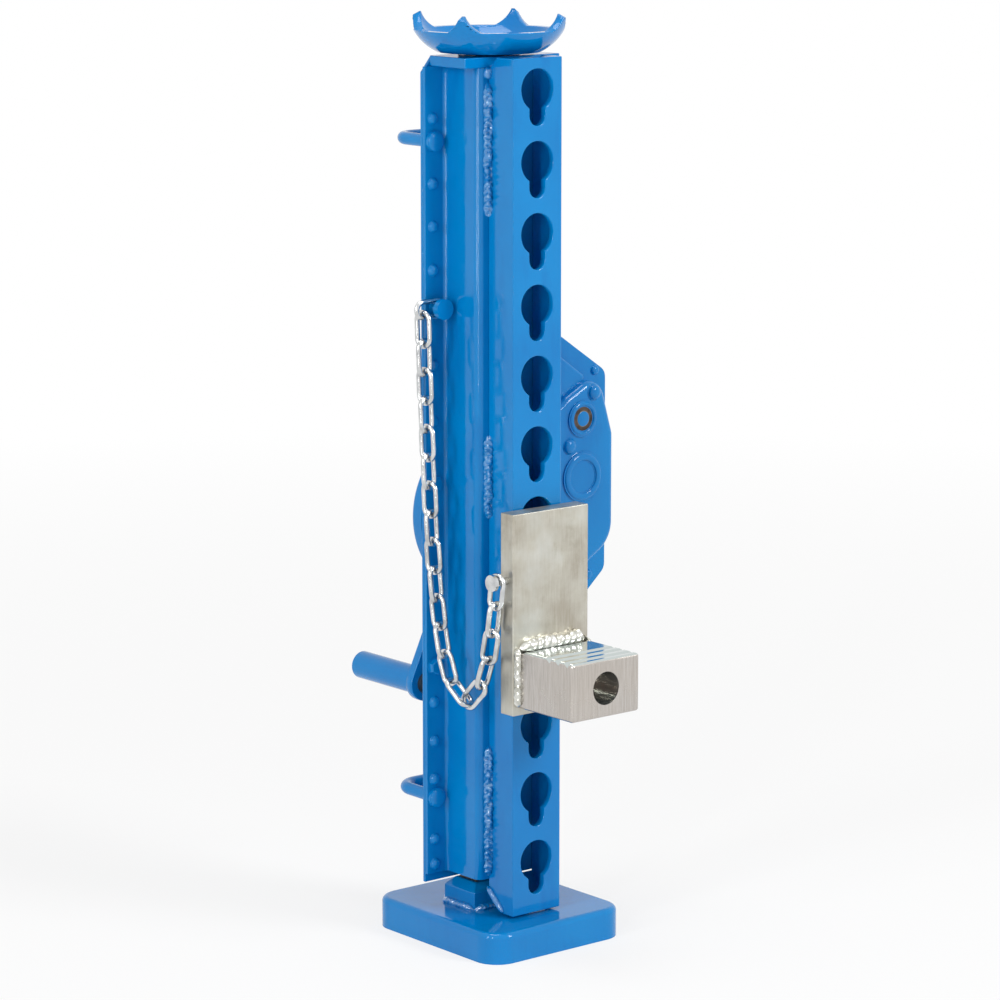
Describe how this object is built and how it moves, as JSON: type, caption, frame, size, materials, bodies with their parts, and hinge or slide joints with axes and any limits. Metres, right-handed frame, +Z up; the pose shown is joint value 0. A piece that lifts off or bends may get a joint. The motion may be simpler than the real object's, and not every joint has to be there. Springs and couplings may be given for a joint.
{
  "type": "steel jack",
  "caption": "Rack-and-pinion steel jack with swivelling pronged head, keyhole rail, adjustable claw on a chain, geared crank and carrying handles.",
  "frame": {"origin": "underside of the foot plate, on the shaft's centre plane, midway between its front and back edges", "axes": "+Z up along the rack, -Y to the front where the claw is, +X to the gear side"},
  "size_m": [0.1988, 0.2949, 0.73],
  "materials": {
    "blue_paint": "gloss",
    "greased_steel": "satin",
    "bush_steel": "satin",
    "zinc_chain": "gloss",
    "galvanised_steel": "satin"
  },
  "bodies": {
    "foot": {"base_plate": "blue_paint", "rack_foot": "blue_paint", "rack": "greased_steel"},
    "housing": {"shaft_channel": "blue_paint", "back_plate": "blue_paint", "gear_side_plate": "blue_paint", "claw_rail": "blue_paint", "rail_welds": "blue_paint", "head_block": "blue_paint", "head_pin": "blue_paint", "rack_guide": "greased_steel", "rack_backing": "greased_steel", "pinion_bearing": "greased_steel", "crank_bushes": "bush_steel", "mid_bushes": "bush_steel", "output_bushes": "bush_steel", "bearing_cap": "blue_paint", "gear_cover_front": "blue_paint", "gear_cover_rear": "blue_paint", "cover_bolts": "blue_paint", "handle_upper": "blue_paint", "handle_lower": "blue_paint", "flange_rivets": "blue_paint", "flange_bolts": "blue_paint", "anchor_bolt": "blue_paint", "chain": "zinc_chain"},
    "crown_head": {"crown": "blue_paint"},
    "crank": {"crank_shaft": "greased_steel", "crank_pinion": "greased_steel", "crank_hub": "blue_paint", "crank_arm": "blue_paint", "crank_nut": "greased_steel", "grip_pin": "greased_steel"},
    "crank_grip": {"grip": "blue_paint"},
    "mid_gears": {"mid_shaft": "greased_steel", "mid_gear": "greased_steel", "mid_pinion": "greased_steel"},
    "output_gears": {"output_shaft": "greased_steel", "output_gear": "greased_steel", "rack_pinion": "greased_steel"},
    "claw": {"claw_plate": "galvanised_steel", "claw_block": "galvanised_steel", "claw_studs": "galvanised_steel", "claw_welds": "galvanised_steel", "chain_pin": "zinc_chain"}
  },
  "joints": [
    {"name": "lift", "type": "slide", "parent": "foot", "child": "housing", "axis": [0, 0, 1], "range_m": [0, 0.35]},
    {"name": "crank_turn", "type": "hinge", "parent": "housing", "child": "crank", "pos_m": [0.091, 0, 0.405], "axis": [0, -1, 0], "range_deg": [0, 9772.3]},
    {"name": "grip_spin", "type": "hinge", "parent": "crank", "child": "crank_grip", "pos_m": [-0.0114, 0.09, 0.19127], "axis": [0, -1, 0], "continuous": true},
    {"name": "mid_gear_turn", "type": "hinge", "parent": "housing", "child": "mid_gears", "pos_m": [0.091, 0, 0.358], "axis": [0, -1, 0], "range_deg": [-6066.57, 1]},
    {"name": "output_gear_turn", "type": "hinge", "parent": "housing", "child": "output_gears", "pos_m": [0.018, 0, 0.33598], "axis": [0, -1, 0], "range_deg": [-1, 1486.45]},
    {"name": "crown_swivel", "type": "hinge", "parent": "housing", "child": "crown_head", "pos_m": [0, 0.00815, 0.7], "axis": [0, 0, 1], "continuous": true},
    {"name": "claw_lift", "type": "slide", "parent": "housing", "child": "claw", "axis": [0, 0, 1], "range_m": [0, 0.0197], "deforming": ["chain"]}
  ],
  "couplings": [
    {"joint": "lift", "follows": "crank_turn", "m_per_rad": 0.0020521},
    {"joint": "mid_gear_turn", "follows": "crank_turn", "ratio": -0.62069},
    {"joint": "output_gear_turn", "follows": "crank_turn", "ratio": 0.15201}
  ]
}
